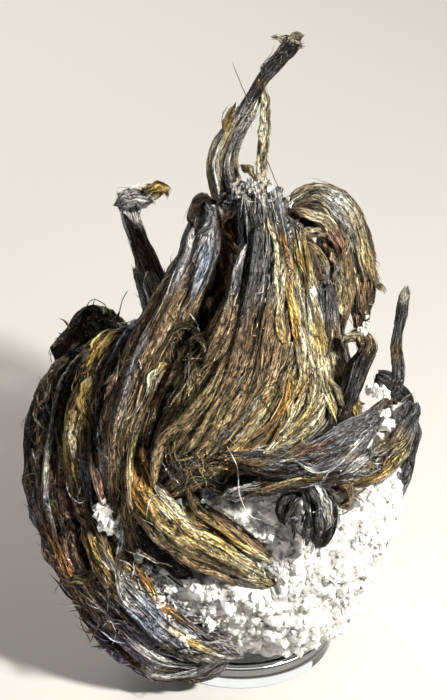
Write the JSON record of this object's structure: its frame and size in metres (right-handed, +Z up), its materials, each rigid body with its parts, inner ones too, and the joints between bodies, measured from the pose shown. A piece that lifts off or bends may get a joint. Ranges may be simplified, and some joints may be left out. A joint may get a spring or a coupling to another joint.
{
  "type": "native silver specimen",
  "caption": "Leaning swirl of ridged native silver wires wrapped round white calcite, rising to a thin bent wire, standing on a clear round display disc.",
  "frame": {"origin": "centre of the clear display disc's underside", "axes": "+Z up, -Y towards the specimen's display side, +X to the right as seen from there"},
  "size_m": [0.0264, 0.0274, 0.037],
  "materials": {
    "tarnished_silver": "dark tarnished silver with fine grooves along the wires",
    "golden_silver": "silver with a thin golden brown tarnish",
    "bright_silver": "lightly tarnished silver, pale and shiny on its ridges",
    "calcite": "white granular calcite with small cleavage faces",
    "clear_acrylic": "clear polished acrylic"
  },
  "bodies": {
    "root": {"display_disc": "clear_acrylic", "calcite_matrix": "calcite", "cross_rope": "tarnished_silver", "upright_wire": "tarnished_silver", "cross_tip": "tarnished_silver", "dark_hook": "tarnished_silver", "dark_fan": "tarnished_silver", "hooked_wire": "tarnished_silver", "centre_sheaf": "tarnished_silver", "right_sheaf": "golden_silver", "right_outer_sheaf": "bright_silver", "left_sheaf": "tarnished_silver", "inner_curl": "golden_silver", "inner_strand": "tarnished_silver", "lower_band": "tarnished_silver", "left_mid_rope": "golden_silver", "lower_outer_band": "tarnished_silver", "left_edge_rope": "tarnished_silver", "lower_rim": "tarnished_silver", "right_rough_rope": "bright_silver", "gap_strand": "golden_silver", "left_blade": "bright_silver", "back_curl_plate": "bright_silver", "back_curl_inner": "bright_silver", "back_curl_outer": "bright_silver", "right_loop": "bright_silver", "top_wire": "tarnished_silver", "gold_wire": "golden_silver", "left_curl": "tarnished_silver", "left_tangle": "tarnished_silver", "back_left_rope": "tarnished_silver", "back_centre_sheaf": "golden_silver", "back_right_rope": "tarnished_silver"}
  },
  "joints": []
}
